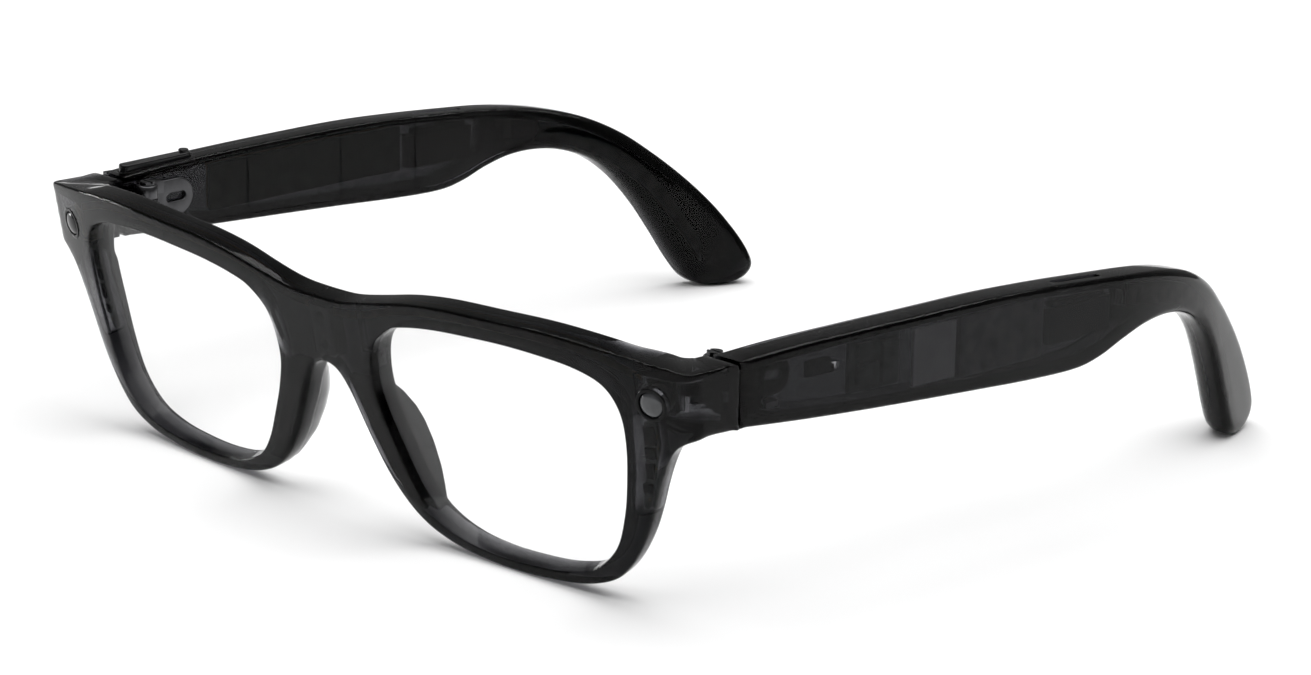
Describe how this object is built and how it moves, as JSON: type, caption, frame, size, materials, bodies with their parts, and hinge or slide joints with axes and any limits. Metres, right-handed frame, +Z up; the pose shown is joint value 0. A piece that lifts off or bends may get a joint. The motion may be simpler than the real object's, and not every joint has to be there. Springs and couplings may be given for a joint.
{
  "type": "smart glasses",
  "caption": "Full-rim smart glasses in translucent dark plastic with a camera, a capture light, temple speakers, a capture button and folding temples.",
  "frame": {"origin": "on the table, under the middle of the whole open object", "axes": "+Z up, the lenses face -Y, +X is the wearer's left"},
  "size_m": [0.1526, 0.1526, 0.0417],
  "materials": {
    "frame_shell": "polished translucent dark grey moulded plastic",
    "temple_shell": "polished translucent dark grey moulded plastic",
    "inner_cover": "polished translucent dark grey moulded plastic",
    "lens": "clear, coated",
    "nose_pad": "smooth opaque black",
    "window_ring": "polished black",
    "camera_glass": "domed, grey",
    "light_diffuser": "domed, smoked",
    "light_emitter": "moulded",
    "housing_black": "moulded",
    "circuit_board": "solder mask",
    "flex": "polyimide film",
    "gold_contact": "plated",
    "hinge_steel": "satin",
    "core_steel": "satin",
    "pouch_foil": "satin",
    "shield_can": "satin",
    "grille_mesh": "fine mesh",
    "button_black": "polished black",
    "seal_rubber": "matte"
  },
  "bodies": {
    "front": {"front_frame": "frame_shell", "lens_left": "lens", "lens_right": "lens", "nose_pad_left": "nose_pad", "nose_pad_right": "nose_pad", "camera_window": "window_ring", "camera_lens": "camera_glass", "camera_barrel": "housing_black", "camera_sensor": "housing_black", "camera_board": "circuit_board", "light_window": "window_ring", "light_lens": "light_diffuser", "light_module": "light_emitter", "light_board": "circuit_board", "brow_flex": "flex", "charge_block": "housing_black", "charge_contacts": "gold_contact", "nose_microphone": "shield_can", "mic_cover": "housing_black", "corner_cover_left": "housing_black", "corner_cover_right": "housing_black", "front_hinge_left": "hinge_steel", "front_hinge_right": "hinge_steel", "hinge_screws": "hinge_steel"},
    "left_temple": {"temple_left": "temple_shell", "temple_cover_left": "inner_cover", "temple_hinge_left": "hinge_steel", "tip_core_left": "core_steel", "battery": "pouch_foil", "power_board": "circuit_board", "antenna_plate": "pouch_foil", "speaker_left": "housing_black", "speaker_grille_left": "grille_mesh", "microphone_left": "shield_can"},
    "right_temple": {"temple_right": "temple_shell", "temple_cover_right": "inner_cover", "temple_hinge_right": "hinge_steel", "tip_core_right": "core_steel", "main_board": "circuit_board", "processor_shield": "shield_can", "touch_sensor": "flex", "speaker_right": "housing_black", "speaker_grille_right": "grille_mesh", "microphone_right": "shield_can", "button_seal": "seal_rubber", "button_contact": "shield_can"},
    "power_slider": {"power_switch": "button_black"},
    "shutter_button": {"capture_button": "button_black"}
  },
  "joints": [
    {"name": "left_temple_fold", "type": "hinge", "parent": "front", "child": "left_temple", "pos_m": [0.0659, -0.05594, 0.0343], "axis": [0, 0, 1], "range_deg": [0, 87]},
    {"name": "right_temple_fold", "type": "hinge", "parent": "front", "child": "right_temple", "pos_m": [-0.0659, -0.05594, 0.0343], "axis": [0, 0, -1], "range_deg": [0, 74]},
    {"name": "power_slide", "type": "slide", "parent": "left_temple", "child": "power_slider", "axis": [0.0506, 0.9987, 0], "range_m": [0, 0.0016]},
    {"name": "capture_press", "type": "slide", "parent": "right_temple", "child": "shutter_button", "axis": [0, 0, -1], "range_m": [0, 0.0004], "stiffness_N_per_m": 1500}
  ]
}
